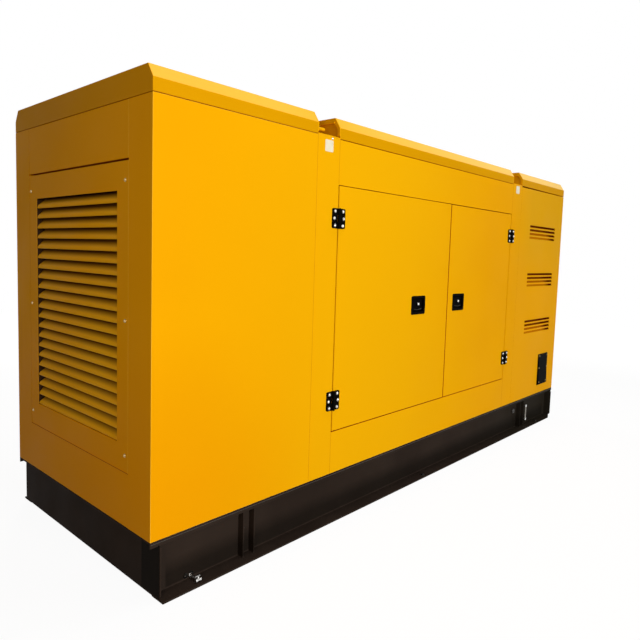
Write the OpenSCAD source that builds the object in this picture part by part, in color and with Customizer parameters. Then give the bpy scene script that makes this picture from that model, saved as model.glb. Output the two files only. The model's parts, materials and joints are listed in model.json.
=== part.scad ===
// Silent diesel generator set: a sheet-steel canopy in three roof sections on a black skid.
// X runs along the length, with +X towards the slotted end. The doors face -Y and Z is up.
// The origin is on the floor, under the middle of the set.

/* [Bays along the length] */
// Length of the plain bay at the left end
left_bay_l = 1020; // [850:5:1300]
// Width of a lifting post, and of the roof gap above it
post_w = 185; // [150:5:230]
// Width of the bay behind the left door
left_door_bay = 1283; // [1000:1:1600]
// Width of the bay behind the right door
right_door_bay = 1027; // [800:1:1300]
// Length of the slotted bay at the right end
right_bay_l = 1000; // [820:5:1300]

/* [Canopy walls] */
// Width over the side walls
can_w = 1510; // [1200:10:1900]
// Height of the walls, from the skid to the roof skirt
wall_h = 1975; // [1600:5:2400]
// Thickness of the lined walls
wall_t = 50; // [40:1:60]
// Thickness of the folded post sheet
post_t = 6; // [4:1:8]
// Height of the plain band below the doors
band_h = 255; // [200:5:310]
// Height of the plain band below the louvre panels
end_band_h = 262; // [200:1:310]
// Height of the fixed header above the doors and the end panels
header_h = 258; // [200:2:310]
// Width of the corner post on each end
return_w = 197; // [150:1:240]

/* [Roof] */
// Height of the upright skirt
skirt_h = 63; // [45:1:90]
// Height of the sloping edge above the skirt
slope_h = 62; // [45:1:90]
// How far the sloping edge leans in
slope_in = 40; // [25:1:70]
// Thickness of the lined roof
roof_t = 25; // [15:1:35]
// Thickness of the tray that closes each roof gap
tray_t = 8; // [5:1:12]

/* [End louvres] */
// Thickness of the louvre panel
panel_t = 40; // [40:1:50]
// Gap between the louvre panel and the band above it
panel_gap = 8; // [2:0.5:12]
// Number of louvre blades on each end
blade_count = 21; // [16:1:26]
// Distance from the side of the louvre panel to its opening
louvre_side = 105; // [80:1:140]
// Distance from the band above the louvre panel down to its opening
louvre_rim = 141; // [100:1:180]
// Distance from the foot of the louvre panel up to its opening
louvre_foot = 134; // [100:1:180]
// Thickness of a blade
blade_t = 3; // [2:0.5:5]
// Depth of the blades, from the outer lip to the inner edge
blade_depth = 34; // [26:1:36]
// How far the blades stand in from the panel's face
blade_set_back = 4; // [2:0.5:6]
// Height of a blade's upright lip
blade_lip = 14; // [8:1:20]
// Height that the next blade's foot stands over the top of a blade
blade_step = 5; // [4:0.5:10]

/* [Air slots] */
// Length of an air slot
slot_l = 608; // [450:1:700]
// Height of an air slot
slot_h = 20; // [12:1:24]
// Distance from one slot to the next in a group
slot_pitch = 35; // [30:1:45]
// Distance from one group of slots to the next
group_pitch = 446; // [300:1:520]
// Distance from the right end to the slots
slot_margin = 174; // [120:1:190]
// Height of the middle of the lowest slot above the foot of the wall
slot_z = 637; // [500:1:760]

/* [Doors] */
// Gap around each door
door_gap = 5; // [5:0.5:8]
// Gap between the two doors
split_gap = 7; // [6:0.5:10]
// Gap between a shut door and the frame behind it
stop_gap = 5; // [5:0.5:8]
// Width of the door frame's bars
frame_w = 60; // [50:1:80]
// How far the frame shows behind the door's edge
frame_lap = 25; // [15:1:35]
// Thickness of the door frame
frame_t = 12; // [8:1:16]

/* [Hinges] */
// Width of an open hinge, over both leaves
hinge_w = 110; // [100:1:150]
// Height of a hinge
hinge_h = 115; // [100:1:150]
// Thickness of a hinge leaf
leaf_t = 8; // [6:1:10]
// Diameter of the hinge barrel
barrel_d = 18; // [16:1:22]
// Diameter of the hinge pin
pin_d = 8; // [6:1:10]
// Distance from the door's face out to the hinge pin
pin_out = 11; // [10:0.5:14]
// Distance from the door's top or bottom edge to the middle of a hinge
hinge_inset = 188; // [120:1:260]
// Gap between two knuckles
knuckle_gap = 1; // [0.5:0.1:2]
// Play all round the pin in a moving knuckle
pin_play = 0.1; // [0.02:0.01:0.1]
// Gap between a knuckle and the leaf beside it
leaf_gap = 5; // [5:0.5:8]
// How far the pin stands out of each end of the barrel
pin_proud = 3; // [1:0.5:5]
// Distance from the pin's middle to the foot of a knuckle's strap
strap_in = 3; // [2:0.5:5]

/* [Latches] */
// Width of the latch's face plate
latch_w = 170; // [150:1:190]
// Height of the latch's face plate
latch_h = 130; // [115:1:150]
// Thickness of the latch's face plate
latch_t = 4; // [3:0.5:6]
// Depth of the latch's dish
dish_depth = 28; // [26:1:32]
// Wall thickness of the latch's dish
dish_t = 5; // [4:0.5:6]
// Width of the face plate outside the dish
latch_rim = 12; // [9:1:15]
// Height of the latches above the foot of the doors
latch_z = 726; // [500:1:900]
// Distance from the door split to the left door's latch
left_latch_x = 398; // [200:1:600]
// Distance from the door split to the right door's latch
right_latch_x = 158; // [120:1:400]
// Diameter of the paddle's pivot pin
pivot_d = 6; // [5:0.5:8]
// Play all round the pivot pin in the dish
pivot_play = 0.1; // [0.02:0.01:0.1]
// Distance from the dish's upper wall to the pivot
pivot_drop = 14; // [12:1:18]
// Distance from the door's face in to the pivot
pivot_depth = 12; // [10:0.5:14]
// Gap between a pivot pin's end and the outside of the dish
pivot_end = 1; // [0.5:0.5:3]
// Diameter of the rolled edge round the pivot pin
boss_d = 12; // [10:0.5:14]
// Thickness of the paddle
paddle_t = 8; // [6:0.5:10]
// Gap on each side of the paddle
paddle_side = 8; // [6:0.5:12]
// Gap for fingertips under the paddle
finger_gap = 12; // [11:1:20]
// Diameter of the key barrel
key_d = 22; // [16:1:28]
// How far the key barrel stands out of the paddle
key_out = 5; // [3:1:8]
// Gap round the dish in its pocket in the door
pocket_play = 2; // [1:0.5:4]
// Corner radius of the face plate
plate_r = 12; // [6:1:20]

/* [Skid] */
// Height of the skid
skid_h = 290; // [240:5:340]
// How far the web stands in from the canopy's side
web_inset = 48; // [36:1:60]
// How far the ends of the skid stand in from the canopy's ends
end_inset = 42; // [30:1:90]
// How far the foot flange reaches out past the canopy's side
foot_out = 40; // [20:1:60]
// Thickness of the skid's flanges
flange_t = 10; // [8:1:14]
// Thickness of the skid's webs and plates
web_t = 8; // [6:1:12]
// Depth of the rail under the canopy's long edges
rail_h = 30; // [22:1:40]
// How far the end plates reach out past the canopy's side, under the rail
end_plate_out = 15; // [0:1:20]
// Gap between the rail and the end plates below it
rail_gap = 5; // [3:0.5:10]
// Size of the corner cut off the foot of each end plate
end_plate_cut = 14; // [5:1:20]
// Height of the end plates' lower edge above the floor
end_lift = 4; // [2:1:9]
// Width of the end beam's foot
end_foot_w = 60; // [40:5:90]
// Length of the corner cut off the right end of each foot flange
foot_cut_l = 110; // [60:5:150]
// Depth of the corner cut off the right end of each foot flange
foot_cut_w = 40; // [10:5:60]
// Distance between the two ribs of a pair
rib_gap = 73; // [60:1:90]
// Distance from the canopy's left end to the left pair of ribs
left_rib_x = 550; // [400:5:700]
// Distance from the canopy's left end to the right pair of ribs
right_rib_x = 3964; // [3700:2:3990]

/* [Skid fittings] */
// Distance from the canopy's left end to the fuel gauge
gauge_x = 4131; // [4125:1:4200]
// Height of the foot of the fuel gauge above the floor
gauge_z = 45; // [35:1:60]
// Length of the fuel gauge
gauge_l = 155; // [120:1:170]
// Diameter of the gauge tube
gauge_d = 18; // [14:1:22]
// Distance from the canopy's side in to the gauge tube
gauge_in = 20; // [14:1:24]
// Diameter of the gauge's end caps
gauge_cap_d = 26; // [24:1:30]
// Height of the gauge's end caps
gauge_cap_h = 18; // [14:1:30]
// Diameter of the pipes between the gauge and the web
gauge_stub_d = 16; // [10:1:18]
// Diameter of a port plug on the web
plug_d = 42; // [30:1:50]
// How far a port plug stands out of the web
plug_out = 16; // [8:1:24]
// Distance from the canopy's left end to the left plug
plug_1_x = 3877; // [3800:1:3930]
// Height of the left plug above the floor
plug_1_z = 177; // [60:1:220]
// Distance from the canopy's left end to the right plug
plug_2_x = 4073; // [4068:1:4090]
// Height of the right plug above the floor
plug_2_z = 119; // [60:1:220]
// Distance from the canopy's left end to the drain valve
drain_x = 250; // [200:5:400]
// Height of the drain valve above the floor
drain_z = 23; // [22:1:50]
// Diameter of the drain valve's body
drain_d = 24; // [20:1:24]
// Length of the drain valve's body
drain_l = 56; // [45:1:80]
// How far the middle of the drain valve stands out past the canopy's side
drain_out = 24; // [0:1:26]
// Diameter of the pipe between the drain valve and the web
drain_pipe_d = 16; // [12:1:22]
// Diameter of the drain valve's stem
stem_d = 11; // [8:1:18]
// Height of the stem above the middle of the drain valve
stem_h = 30; // [24:1:50]

/* [Outlet box] */
// Width of the outlet box
outlet_w = 226; // [180:1:260]
// Height of the outlet box
outlet_h = 311; // [250:1:340]
// Distance from the right end to the outlet box
outlet_margin = 185; // [150:1:240]
// Height of the outlet box above the foot of the wall
outlet_z = 82; // [60:1:120]
// How far the box's lower hood stands out
hood_out = 10; // [7:1:50]
// Thickness of the box's back plate
box_back_t = 6; // [4:1:10]
// Thickness of the box's upper cover
box_cover_t = 5; // [4:1:18]
// Width of the back plate's edge round the cover
box_edge = 8; // [4:1:14]
// Height of the lower hood's top above the box's foot
hood_h = 156; // [100:1:190]

/* [Lifting lugs and labels] */
// Length of a lifting lug from the roof's end
lug_l = 80; // [60:1:120]
// Distance from the canopy's side to the lug
lug_in = 33; // [20:1:50]
// Height of the lug's bar above the tray
lug_h = 31; // [20:1:44]
// Diameter of the lug's bar
lug_d = 18; // [14:1:24]
// Width of a blank label plate
label_w = 68; // [60:1:90]
// Height of a blank label plate
label_h = 66; // [50:1:80]
// Thickness of a blank label plate
label_t = 1; // [0.5:0.5:3]
// Distance from the roof skirt down to the left label plates
left_label_drop = 18; // [6:1:30]
// Distance from the roof skirt down to the right label plates
right_label_drop = 8; // [6:1:30]

/* [Hidden] */

can_l = left_bay_l + 2 * post_w + left_door_bay + right_door_bay + right_bay_l;
x_left = -can_l / 2;
x_right = can_l / 2;
x_post_1 = x_left + left_bay_l;
x_door_1 = x_post_1 + post_w;
x_split = x_door_1 + left_door_bay;
x_door_2 = x_split + right_door_bay;
x_post_2 = x_door_2;
x_bay_2 = x_post_2 + post_w;

y_face = can_w / 2;
y_web = y_face - web_inset;
y_foot = y_face + foot_out;

z_wall = skid_h;
z_door = z_wall + band_h;
z_head = z_wall + wall_h - header_h;
z_roof = z_wall + wall_h;
z_skirt = z_roof + skirt_h;
z_top = z_skirt + slope_h;

// A door fills its doorway down to the stop frame
door_t = wall_t - stop_gap;

// Louvre panel and its opening
panel_half_w = can_w / 2 - return_w;
open_half_w = panel_half_w - louvre_side;
z_panel = z_wall + end_band_h;
z_open = z_panel + louvre_foot;
open_h = z_head - louvre_rim - z_open;
blade_pitch = open_h / blade_count;

// Hinges
knuckle_l = (hinge_h - 2 * knuckle_gap) / 3;
hinge_zs = [z_door + door_gap + hinge_inset, z_head - door_gap - hinge_inset];
x_pin_left = x_door_1 + door_gap / 2;
x_pin_right = x_door_2 - door_gap / 2;

// Latches
dish_w = latch_w - 2 * latch_rim;
dish_h = latch_h - 2 * latch_rim;
half_paddle = dish_w / 2 - dish_t - paddle_side;
z_latch = z_door + latch_z;
x_latch_left = x_split - left_latch_x;
x_latch_right = x_split + right_latch_x;

// Skid
x_skid = can_l / 2 - end_inset;

// Distance along the skid and height of each port plug
port_places = [[plug_1_x, plug_1_z], [plug_2_x, plug_2_z]];

yellow = "goldenrod";
black = "#222222";
steel = "silver";

// A block between two opposite corners
module block(lo, hi) {
  translate(lo) cube(hi - lo);
}

// An upright profile of [y, z] points, run along X from x0 to x1
module along_x(x0, x1, points) {
  translate([x0, 0, 0]) rotate([90, 0, 90]) linear_extrude(x1 - x0) polygon(points);
}

// A plate on the side wall with rounded corners, y0 deep to y1, about the middle [x, z]
module rounded_plate(x, z, w, h, r, y0, y1) {
  block([x - w / 2 + r, y0, z - h / 2], [x + w / 2 - r, y1, z + h / 2]);
  block([x - w / 2, y0, z - h / 2 + r], [x + w / 2, y1, z + h / 2 - r]);
  for (sx = [-1, 1], sz = [-1, 1])
    translate([x + sx * (w / 2 - r), y1, z + sz * (h / 2 - r)])
      rotate([90, 0, 0]) cylinder(r = r, h = y1 - y0, $fn = 48);
}

module rear() {
  mirror([0, 1, 0]) children();
}

// ---- Skid ----

// Outward-facing channel with a rail under the canopy, a web and a foot flange
module side_beam() {
  block([x_left, -y_face, skid_h - flange_t], [x_right, -y_web + web_t, skid_h]);
  block([x_left, -y_face, skid_h - rail_h], [x_right, -y_face + web_t, skid_h - flange_t]);
  block([-x_skid + web_t, -y_web, flange_t], [x_skid - web_t, -y_web + web_t, skid_h - flange_t]);
  linear_extrude(flange_t)
    polygon([[-x_skid, -y_foot], [x_skid - foot_cut_l, -y_foot], [x_skid, -y_foot + foot_cut_w],
             [x_skid, -y_web + web_t], [-x_skid, -y_web + web_t]]);
}

// Points [y, z] up the s side of the end plate, which stands on the side beam's foot flange
// and passes behind and below its rail
function end_plate_side(s) = [
  [s * (y_web - web_t), end_lift], [s * (y_web - web_t), flange_t],
  [s * (y_face + end_plate_out - end_plate_cut), flange_t],
  [s * (y_face + end_plate_out), flange_t + end_plate_cut],
  [s * (y_face + end_plate_out), skid_h - rail_h - rail_gap],
  [s * (y_face - web_t), skid_h - rail_h - rail_gap], [s * (y_face - web_t), skid_h - flange_t]
];

// End plate over the whole width, with a flange under the canopy and a foot turned inward
module end_beam() {
  down = end_plate_side(-1);
  y_in = y_web - web_t;
  block([x_left, -y_in, skid_h - flange_t], [-x_skid + web_t, y_in, skid_h]);
  along_x(-x_skid, -x_skid + web_t, concat(end_plate_side(1), [for (i = [6:-1:0]) down[i]]));
  block([-x_skid + web_t, -y_in + 5, end_lift], [-x_skid + end_foot_w, y_in - 5, end_lift + flange_t]);
}

module front_side_beam() {
  color(black) side_beam();
}

module rear_side_beam() {
  color(black) rear() side_beam();
}

module left_end_beam() {
  color(black) end_beam();
}

module right_end_beam() {
  color(black) mirror([1, 0, 0]) end_beam();
}

module base_deck() {
  color(black)
    block([-x_skid + web_t, -y_web + web_t, skid_h - flange_t], [x_skid - web_t, y_web - web_t, skid_h]);
}

module beam_ribs() {
  color(black)
    for (side = [0, 1]) mirror([0, side, 0])
      for (x = [left_rib_x, right_rib_x], k = [0, 1])
        block([x_left + x + k * rib_gap - web_t / 2, -y_face + web_t, flange_t],
              [x_left + x + k * rib_gap + web_t / 2, -y_web, skid_h - flange_t]);
}

// Sight tube between two elbows that come out of the web
module fuel_gauge() {
  x = x_left + gauge_x;
  y = -y_face + gauge_in;
  color("white") {
    translate([x, y, gauge_z]) cylinder(d = gauge_d, h = gauge_l, $fn = 32);
    for (z = [gauge_z, gauge_z + gauge_l - gauge_cap_h]) {
      translate([x, y, z]) cylinder(d = gauge_cap_d, h = gauge_cap_h, $fn = 32);
      translate([x, y, z + gauge_cap_h / 2])
        rotate([-90, 0, 0]) cylinder(d = gauge_stub_d, h = -y_web - y, $fn = 32);
    }
  }
}

// Two port plugs on the web and a drain valve above the foot flange
module tank_fittings() {
  x = x_left + drain_x;
  y = -y_face - drain_out;
  color(steel) {
    for (p = port_places)
      translate([x_left + p[0], -y_web, p[1]])
        rotate([90, 0, 0]) cylinder(d = plug_d, h = plug_out, $fn = 32);
    translate([x - drain_l / 2, y, drain_z])
      rotate([0, 90, 0]) cylinder(d = drain_d, h = drain_l, $fn = 32);
    translate([x, y, drain_z])
      rotate([-90, 0, 0]) cylinder(d = drain_pipe_d, h = -y_web - y, $fn = 32);
    translate([x, y, drain_z]) cylinder(d = stem_d, h = stem_h, $fn = 32);
  }
}

// ---- Canopy walls ----

// Side wall of the end bay, folded round the corner to make the corner post
module left_wall() {
  block([x_left, -y_face, z_wall], [x_post_1, -y_face + wall_t, z_roof]);
  block([x_left, -y_face + wall_t, z_wall], [x_left + wall_t, -y_face + return_w, z_roof]);
}

module slotted_wall() {
  difference() {
    union() {
      block([x_bay_2, -y_face, z_wall], [x_right, -y_face + wall_t, z_roof]);
      block([x_right - wall_t, -y_face + wall_t, z_wall], [x_right, -y_face + return_w, z_roof]);
    }
    for (g = [0:2], k = [0:3])
      translate([x_right - slot_margin - slot_l, -y_face - 1,
                 z_wall + slot_z + g * group_pitch + k * slot_pitch - slot_h / 2])
        cube([slot_l, wall_t + 2, slot_h]);
  }
}

module front_left_panel() {
  color(yellow) left_wall();
}

module rear_left_panel() {
  color(yellow) rear() left_wall();
}

module front_right_panel() {
  color(yellow) slotted_wall();
}

module rear_right_panel() {
  color(yellow) rear() slotted_wall();
}

module end_sills() {
  color(yellow)
    for (side = [0, 1]) mirror([side, 0, 0])
      block([x_left, -panel_half_w, z_wall], [x_left + wall_t, panel_half_w, z_panel]);
}

module end_headers() {
  color(yellow)
    for (side = [0, 1]) mirror([side, 0, 0])
      block([x_left, -panel_half_w, z_head], [x_left + wall_t, panel_half_w, z_roof]);
}

module louvre_panel() {
  difference() {
    block([x_left, -panel_half_w, z_panel], [x_left + panel_t, panel_half_w, z_head - panel_gap]);
    block([x_left - 1, -open_half_w, z_open], [x_left + panel_t + 1, open_half_w, z_open + open_h]);
  }
}

// Slanted blade with an upright lip at its lower, outer edge
module louvre_blade(z) {
  x0 = x_left + blade_set_back;
  x1 = x0 + blade_depth;
  rise = blade_pitch - blade_step - blade_t;
  translate([0, open_half_w, 0]) rotate([90, 0, 0]) linear_extrude(2 * open_half_w)
    polygon([[x0, z], [x0 + blade_t, z], [x0 + blade_t, z + blade_lip],
             [x1, z + rise], [x1 - blade_t, z + rise + blade_t], [x0, z + blade_lip + blade_t]]);
}

module louvre_blades() {
  for (k = [0:blade_count - 1])
    louvre_blade(z_open + k * blade_pitch + 1);
}

module left_louvre_panel() {
  color(yellow) louvre_panel();
}

module left_louvre_blades() {
  color(yellow) louvre_blades();
}

module right_louvre_panel() {
  color(yellow) mirror([1, 0, 0]) louvre_panel();
}

module right_louvre_blades() {
  color(yellow) mirror([1, 0, 0]) louvre_blades();
}

// Channel-shaped posts that carry the lifting points
module posts() {
  for (x = [x_post_1, x_post_2])
    translate([x, -y_face, z_wall]) linear_extrude(wall_h)
      polygon([[0, 0], [post_w, 0], [post_w, wall_t], [post_w - post_t, wall_t],
               [post_w - post_t, post_t], [post_t, post_t], [post_t, wall_t], [0, wall_t]]);
}

module front_posts() {
  color(yellow) posts();
}

module rear_posts() {
  color(yellow) rear() posts();
}

module header() {
  block([x_door_1, -y_face, z_head], [x_door_2, -y_face + wall_t, z_roof]);
}

module sill() {
  block([x_door_1, -y_face, z_wall], [x_door_2, -y_face + wall_t, z_door]);
}

module front_header() {
  color(yellow) header();
}

module front_sill() {
  color(yellow) sill();
}

module rear_header() {
  color(yellow) rear() header();
}

module rear_sill() {
  color(yellow) rear() sill();
}

// Stop frame behind the doors, with an upright behind the split
module door_frame() {
  y0 = -y_face + wall_t;
  out_w = frame_w - frame_lap;
  difference() {
    block([x_door_1 - out_w, y0, z_door - out_w], [x_door_2 + out_w, y0 + frame_t, z_head + out_w]);
    block([x_door_1 + frame_lap, y0 - 1, z_door + frame_lap],
          [x_split - frame_w / 2, y0 + frame_t + 1, z_head - frame_lap]);
    block([x_split + frame_w / 2, y0 - 1, z_door + frame_lap],
          [x_door_2 - frame_lap, y0 + frame_t + 1, z_head - frame_lap]);
  }
}

module front_door_frame() {
  color(yellow) door_frame();
}

module rear_door_frame() {
  color(yellow) rear() door_frame();
}

// ---- Doors ----

// Door leaf from x0 to x1 with a pocket for the latch
module door_leaf(x0, x1, x_latch) {
  difference() {
    block([x0, -y_face, z_door + door_gap], [x1, -y_face + door_t, z_head - door_gap]);
    block([x_latch - dish_w / 2 - pocket_play, -y_face - 1, z_latch - dish_h / 2 - pocket_play],
          [x_latch + dish_w / 2 + pocket_play, -y_face + dish_depth + pocket_play,
           z_latch + dish_h / 2 + pocket_play]);
  }
}

module left_leaf() {
  door_leaf(x_door_1 + door_gap, x_split - split_gap / 2, x_latch_left);
}

module right_leaf() {
  door_leaf(x_split + split_gap / 2, x_door_2 - door_gap, x_latch_right);
}

module front_left_door() {
  color(yellow) left_leaf();
}

module front_right_door() {
  color(yellow) right_leaf();
}

module rear_doors() {
  color(yellow) rear() {
    left_leaf();
    right_leaf();
  }
}

// ---- Hinges: the post is on the side s of the pin, and the door on the other ----

module hinge_base(x, s, z) {
  translate([x, -y_face, z - hinge_h / 2]) {
    inner = barrel_d / 2 + leaf_gap;
    block([min(s * inner, s * hinge_w / 2), -leaf_t, 0], [max(s * inner, s * hinge_w / 2), 0, hinge_h]);
    for (z0 = [0, hinge_h - knuckle_l]) {
      block([min(s * strap_in, s * inner), -leaf_t, z0], [max(s * strap_in, s * inner), 0, z0 + knuckle_l]);
      translate([0, -pin_out, z0]) cylinder(d = barrel_d, h = knuckle_l, $fn = 40);
    }
    translate([0, -pin_out, -pin_proud]) cylinder(d = pin_d, h = hinge_h + 2 * pin_proud, $fn = 40);
  }
}

module hinge_leaf(x, s, z) {
  translate([x, -y_face, z - hinge_h / 2]) {
    inner = barrel_d / 2 + leaf_gap;
    z0 = knuckle_l + knuckle_gap;
    block([min(-s * inner, -s * hinge_w / 2), -leaf_t, 0],
          [max(-s * inner, -s * hinge_w / 2), 0, hinge_h]);
    difference() {
      union() {
        block([min(-s * strap_in, -s * inner), -leaf_t, z0],
              [max(-s * strap_in, -s * inner), 0, z0 + knuckle_l]);
        translate([0, -pin_out, z0]) cylinder(d = barrel_d, h = knuckle_l, $fn = 40);
      }
      translate([0, -pin_out, z0 - 1])
        cylinder(d = pin_d + 2 * pin_play, h = knuckle_l + 2, $fn = 40);
    }
  }
}

module hinge_bases() {
  for (z = hinge_zs) {
    hinge_base(x_pin_left, -1, z);
    hinge_base(x_pin_right, 1, z);
  }
}

module front_hinge_plates() {
  color(black) hinge_bases();
}

module left_door_hinge_leaves() {
  color(black) for (z = hinge_zs) hinge_leaf(x_pin_left, -1, z);
}

module right_door_hinge_leaves() {
  color(black) for (z = hinge_zs) hinge_leaf(x_pin_right, 1, z);
}

module rear_hinges() {
  color(black) rear() {
    hinge_bases();
    for (z = hinge_zs) {
      hinge_leaf(x_pin_left, -1, z);
      hinge_leaf(x_pin_right, 1, z);
    }
  }
}

// ---- Latches ----

// Face plate and dish, with a bore through each side of the dish for the paddle's pivot
module latch(x) {
  difference() {
    union() {
      rounded_plate(x, z_latch, latch_w, latch_h, plate_r, -y_face - latch_t, -y_face);
      block([x - dish_w / 2, -y_face, z_latch - dish_h / 2],
            [x + dish_w / 2, -y_face + dish_depth, z_latch + dish_h / 2]);
    }
    block([x - dish_w / 2 + dish_t, -y_face - latch_t - 1, z_latch - dish_h / 2 + dish_t],
          [x + dish_w / 2 - dish_t, -y_face + dish_depth - dish_t, z_latch + dish_h / 2 - dish_t]);
    translate([x - dish_w / 2 - 1, -y_face + pivot_depth, z_pivot()])
      rotate([0, 90, 0]) cylinder(d = pivot_d + 2 * pivot_play, h = dish_w + 2, $fn = 32);
  }
}

function z_pivot() = z_latch + dish_h / 2 - dish_t - pivot_drop;

// Paddle that hangs from its pivot, with the key barrel in its middle
module paddle(x) {
  y0 = -y_face + pivot_depth - paddle_t / 2;
  z0 = z_latch - dish_h / 2 + dish_t + finger_gap;
  block([x - half_paddle, y0, z0], [x + half_paddle, y0 + paddle_t, z_pivot()]);
  translate([x - half_paddle, y0 + paddle_t / 2, z_pivot()])
    rotate([0, 90, 0]) cylinder(d = boss_d, h = 2 * half_paddle, $fn = 32);
  translate([x - dish_w / 2 + pivot_end, y0 + paddle_t / 2, z_pivot()])
    rotate([0, 90, 0]) cylinder(d = pivot_d, h = dish_w - 2 * pivot_end, $fn = 32);
  translate([x, y0 + 1, (z0 + z_pivot()) / 2])
    rotate([90, 0, 0]) cylinder(d = key_d, h = key_out + 1, $fn = 32);
}

module left_door_latch() {
  color(black) latch(x_latch_left);
}

module right_door_latch() {
  color(black) latch(x_latch_right);
}

module left_latch_paddle() {
  color(black) paddle(x_latch_left);
}

module right_latch_paddle() {
  color(black) paddle(x_latch_right);
}

module rear_latches() {
  color(black) rear()
    for (x = [x_latch_left, x_latch_right]) {
      latch(x);
      paddle(x);
    }
}

// ---- Roof ----

// Points [y, z] of the roof's section, moved in by t
function roof_section(t) = [
  [-y_face + t, z_roof], [y_face - t, z_roof],
  [y_face - t, z_skirt - t / 4], [y_face - slope_in - t * 0.7, z_top - t],
  [-y_face + slope_in + t * 0.7, z_top - t], [-y_face + t, z_skirt - t / 4]
];

module roof(x0, x1) {
  difference() {
    along_x(x0, x1, roof_section(0));
    translate([0, 0, -1]) along_x(x0 + roof_t, x1 - roof_t,
      concat([[-y_face + roof_t, z_roof - 1], [y_face - roof_t, z_roof - 1]],
             [for (i = [1:5]) roof_section(roof_t)[i]]));
  }
}

module roof_left() {
  color(yellow) roof(x_left, x_post_1);
}

module roof_middle() {
  color(yellow) roof(x_door_1, x_post_2);
}

module roof_right() {
  color(yellow) roof(x_bay_2, x_right);
}

module roof_trays() {
  color(yellow)
    for (x = [x_post_1, x_post_2])
      block([x, -y_face, z_roof], [x + post_w, y_face, z_roof + tray_t]);
}

module lifting_lugs() {
  color(yellow)
    for (side = [0, 1]) mirror([0, side, 0]) {
      y = -y_face + lug_in;
      z = z_roof + tray_t + lug_h;
      translate([x_post_1, y, z]) rotate([0, 90, 0]) cylinder(d = lug_d, h = lug_l, $fn = 32);
    }
}

// ---- Things on the canopy ----

// Cable outlet: a back plate, a flat upper cover and a sloping lower hood
module outlet_box() {
  x1 = x_right - outlet_margin;
  x0 = x1 - outlet_w;
  z0 = z_wall + outlet_z;
  z1 = z0 + outlet_h;
  zm = z0 + hood_h;
  color(black) {
    block([x0, -y_face - box_back_t, z0], [x1, -y_face, z1]);
    block([x0 + box_edge, -y_face - box_back_t - box_cover_t, zm],
          [x1 - box_edge, -y_face - box_back_t, z1 - box_edge]);
    along_x(x0 + box_edge, x1 - box_edge,
      [[-y_face - box_back_t, z0 + box_edge], [-y_face - box_back_t, zm],
       [-y_face - box_back_t - box_cover_t, zm], [-y_face - box_back_t - hood_out, z0 + box_edge]]);
  }
}

module label_plate(x, drop) {
  z1 = z_roof - drop;
  block([x - label_w / 2, -y_face - label_t, z1 - label_h], [x + label_w / 2, -y_face, z1]);
}

module label_plates() {
  color("white")
    for (side = [0, 1]) mirror([0, side, 0]) {
      label_plate(x_post_1 + post_w / 2, left_label_drop);
      label_plate(x_post_2 + post_w / 2, right_label_drop);
    }
}

front_side_beam();
rear_side_beam();
left_end_beam();
right_end_beam();
base_deck();
beam_ribs();
fuel_gauge();
tank_fittings();
front_left_panel();
rear_left_panel();
front_right_panel();
rear_right_panel();
end_sills();
end_headers();
left_louvre_panel();
left_louvre_blades();
right_louvre_panel();
right_louvre_blades();
front_posts();
rear_posts();
front_header();
front_sill();
rear_header();
rear_sill();
front_door_frame();
rear_door_frame();
front_left_door();
front_right_door();
rear_doors();
roof_left();
roof_middle();
roof_right();
roof_trays();
lifting_lugs();
front_hinge_plates();
left_door_hinge_leaves();
right_door_hinge_leaves();
rear_hinges();
left_door_latch();
right_door_latch();
left_latch_paddle();
right_latch_paddle();
rear_latches();
outlet_box();
label_plates();
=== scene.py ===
import bpy
import bmesh
import json
import math
from mathutils import Matrix, Vector


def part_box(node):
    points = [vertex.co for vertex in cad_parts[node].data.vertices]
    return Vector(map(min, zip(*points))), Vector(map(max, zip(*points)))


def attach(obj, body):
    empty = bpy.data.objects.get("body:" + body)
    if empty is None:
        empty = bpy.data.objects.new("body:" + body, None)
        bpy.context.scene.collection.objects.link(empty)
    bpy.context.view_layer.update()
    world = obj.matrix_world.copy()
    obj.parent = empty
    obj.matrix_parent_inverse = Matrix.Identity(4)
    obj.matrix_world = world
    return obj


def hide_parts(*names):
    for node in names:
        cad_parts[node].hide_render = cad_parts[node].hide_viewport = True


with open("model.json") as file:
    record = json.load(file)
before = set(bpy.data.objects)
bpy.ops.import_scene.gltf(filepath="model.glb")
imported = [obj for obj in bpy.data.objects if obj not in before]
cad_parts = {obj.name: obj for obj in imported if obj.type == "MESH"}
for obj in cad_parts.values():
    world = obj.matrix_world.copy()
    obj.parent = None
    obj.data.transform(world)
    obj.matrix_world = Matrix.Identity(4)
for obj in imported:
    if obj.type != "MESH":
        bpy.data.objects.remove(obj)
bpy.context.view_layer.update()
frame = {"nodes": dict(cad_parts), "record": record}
BASE = "canopy_and_skid"

# ---- places, from the CAD nodes: metres, X along the set, the front side at -Y ----
BOX = {n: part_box(n) for n in frame["nodes"]}
DOOR_GAP = 0.005                                                                # round the door leaves
X0, X1 = BOX["front_left_panel"][0][0], BOX["front_right_panel"][1][0]          # end faces
SIDE_Y = -BOX["front_left_panel"][0][1]                                         # side faces, at -SIDE_Y and SIDE_Y
PANEL_Y = BOX["end_headers"][1][1]                                              # upright edges of the end panels
P1, D1 = BOX["front_left_panel"][1][0], BOX["front_left_door"][0][0] - DOOR_GAP     # edges of the left post
D2, P2 = BOX["front_right_door"][1][0] + DOOR_GAP, BOX["front_right_panel"][0][0]   # edges of the right post
SPLIT = (BOX["front_left_door"][1][0] + BOX["front_right_door"][0][0]) / 2      # where the door leaves meet
Z_WALL, Z_ROOF = BOX["front_left_panel"][0][2], BOX["front_left_panel"][1][2]   # foot and top of the walls
Z_DOOR, Z_HEAD = BOX["front_sill"][1][2], BOX["front_header"][0][2]             # foot and top of the doorways
Z_PANEL = BOX["left_louvre_panel"][0][2]                                        # foot of the louvre panels
Z_TOP = BOX["roof_left"][1][2]
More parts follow.
